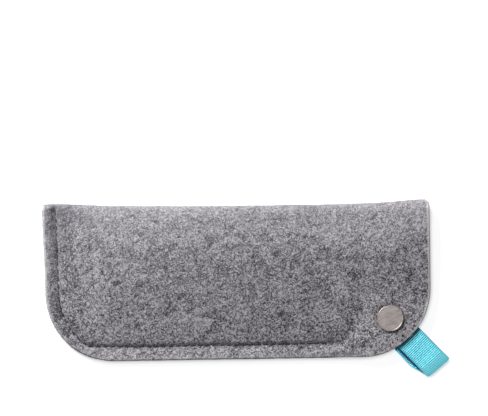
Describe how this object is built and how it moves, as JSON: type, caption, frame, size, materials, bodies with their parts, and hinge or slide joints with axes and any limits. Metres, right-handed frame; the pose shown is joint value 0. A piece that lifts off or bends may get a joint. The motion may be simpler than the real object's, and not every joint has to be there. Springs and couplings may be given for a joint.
{
  "type": "eyeglasses case",
  "caption": "Folded felt slip case for reading glasses, sewn along two sides, closed at its open corner by a press stud with a ribbon pull tab.",
  "frame": {"origin": "middle of the back panel's outer face, on the surface the case lies on", "axes": "+X along the case towards its open end, +Y towards the folded edge, +Z out of the front panel"},
  "size_m": [0.1935, 0.0863, 0.0135],
  "materials": {
    "felt": "matte",
    "thread": "matte",
    "nickel": "satin",
    "spring_wire": "polished",
    "ribbon": "satin"
  },
  "bodies": {
    "pouch": {"felt_body": "felt", "needle_thread": "thread", "bobbin_thread": "thread", "stud": "nickel", "stud_rivet": "nickel"},
    "flap": {"felt_flap": "felt", "snap_cap": "nickel", "cap_post": "nickel", "socket_base": "nickel", "socket_spring": "spring_wire", "socket_case": "nickel", "ribbon_tails": "ribbon"},
    "pull_tab": {"ribbon_loop": "ribbon"}
  },
  "joints": [
    {"name": "flap_bend", "type": "hinge", "parent": "pouch", "child": "flap", "pos_m": [0.0487, -0.0303, 0.0074], "axis": [-0.5907, -0.8013, -0.0949], "range_deg": [0, 60], "stiffness_Nm_per_rad": 0.002, "deforming": ["socket_spring"]},
    {"name": "tab_bend", "type": "hinge", "parent": "flap", "child": "pull_tab", "pos_m": [0.08253, -0.02867, 0.00715], "axis": [-0.7193, -0.6947, 0], "range_deg": [0, 75]}
  ]
}
